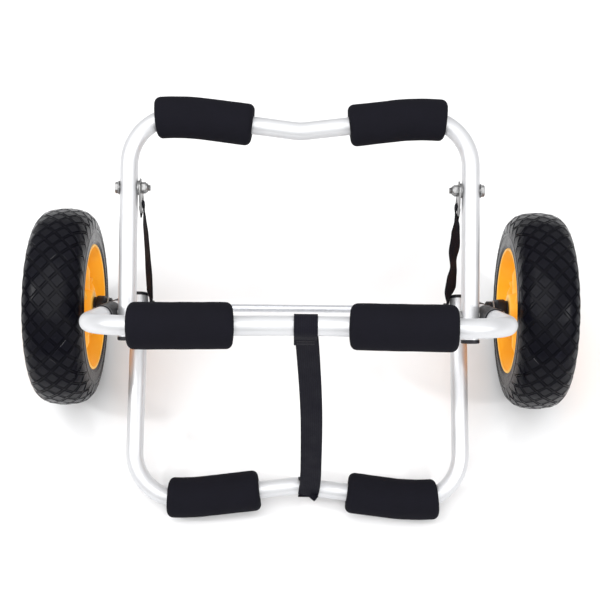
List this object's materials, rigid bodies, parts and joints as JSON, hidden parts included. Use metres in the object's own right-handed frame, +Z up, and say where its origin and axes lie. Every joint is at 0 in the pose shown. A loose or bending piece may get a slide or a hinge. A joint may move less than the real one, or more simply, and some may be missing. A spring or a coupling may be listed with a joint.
{
  "type": "kayak cart",
  "caption": "Folding cart for a kayak: padded U-shaped tube frames pivoted on an axle with wide wheels, held apart by webbing straps.",
  "frame": {"origin": "on the floor, at the middle of the box that holds the cart", "axes": "+X along the axle, -Y towards the side of the main and lower bunk crossbars, +Z up"},
  "size_m": [0.687, 0.4104, 0.3885],
  "materials": {
    "tube": "satin anodised",
    "foam": "closed-cell foam skin",
    "black_plastic": "moulded",
    "steel": "zinc plated",
    "webbing": "woven webbing",
    "tyre": "block tread",
    "yellow_plastic": "moulded"
  },
  "bodies": {
    "main": {"main_frame": "tube", "main_pad_left": "foam", "main_pad_right": "foam", "main_leg_boot_left": "black_plastic", "main_leg_boot_right": "black_plastic", "axle": "steel", "left_leg_bush": "black_plastic", "right_leg_bush": "black_plastic", "left_axle_washer": "steel", "right_axle_washer": "steel", "left_wheel_spacer": "black_plastic", "right_wheel_spacer": "black_plastic", "left_outer_washer": "steel", "right_outer_washer": "steel", "left_axle_cap": "black_plastic", "right_axle_cap": "black_plastic", "left_leg_grip": "black_plastic", "right_leg_grip": "black_plastic", "left_pivot_bolt": "steel", "right_pivot_bolt": "steel", "left_pivot_nut": "steel", "right_pivot_nut": "steel", "left_side_strap": "webbing", "right_side_strap": "webbing", "left_strap_retainer": "black_plastic", "right_strap_retainer": "black_plastic", "centre_strap": "webbing"},
    "lower_bunk": {"lower_bunk_frame": "tube", "lower_bunk_pad_left": "foam", "lower_bunk_pad_right": "foam", "lower_bunk_leg_cap_left": "black_plastic", "lower_bunk_leg_cap_right": "black_plastic"},
    "kickstand": {"kickstand_frame": "tube", "kickstand_pad_left": "foam", "kickstand_pad_right": "foam", "kickstand_leg_cap_left": "black_plastic", "kickstand_leg_cap_right": "black_plastic", "left_strap_bolt": "steel", "right_strap_bolt": "steel", "left_strap_washer": "steel", "right_strap_washer": "steel", "left_strap_nut": "steel", "right_strap_nut": "steel", "left_strap_tab": "steel", "right_strap_tab": "steel"},
    "left_wheel": {"left_tyre": "tyre", "left_rim": "yellow_plastic", "left_inner_hub_bush": "black_plastic", "left_outer_hub_bush": "black_plastic"},
    "right_wheel": {"right_tyre": "tyre", "right_rim": "yellow_plastic", "right_inner_hub_bush": "black_plastic", "right_outer_hub_bush": "black_plastic"}
  },
  "joints": [
    {"name": "bunk_fold", "type": "hinge", "parent": "main", "child": "lower_bunk", "pos_m": [0, 0.0456, 0.129], "axis": [-1, 0, 0], "range_deg": [0, 45], "deforming": ["centre_strap"]},
    {"name": "kickstand_fold", "type": "hinge", "parent": "main", "child": "kickstand", "pos_m": [0, -0.02426, 0.2178], "axis": [-1, 0, 0], "range_deg": [0, 55], "deforming": ["left_side_strap", "right_side_strap"]},
    {"name": "left_wheel_spin", "type": "hinge", "parent": "main", "child": "left_wheel", "pos_m": [-0.3065, 0.0456, 0.129], "axis": [1, 0, 0], "continuous": true},
    {"name": "right_wheel_spin", "type": "hinge", "parent": "main", "child": "right_wheel", "pos_m": [0.3065, 0.0456, 0.129], "axis": [1, 0, 0], "continuous": true}
  ]
}
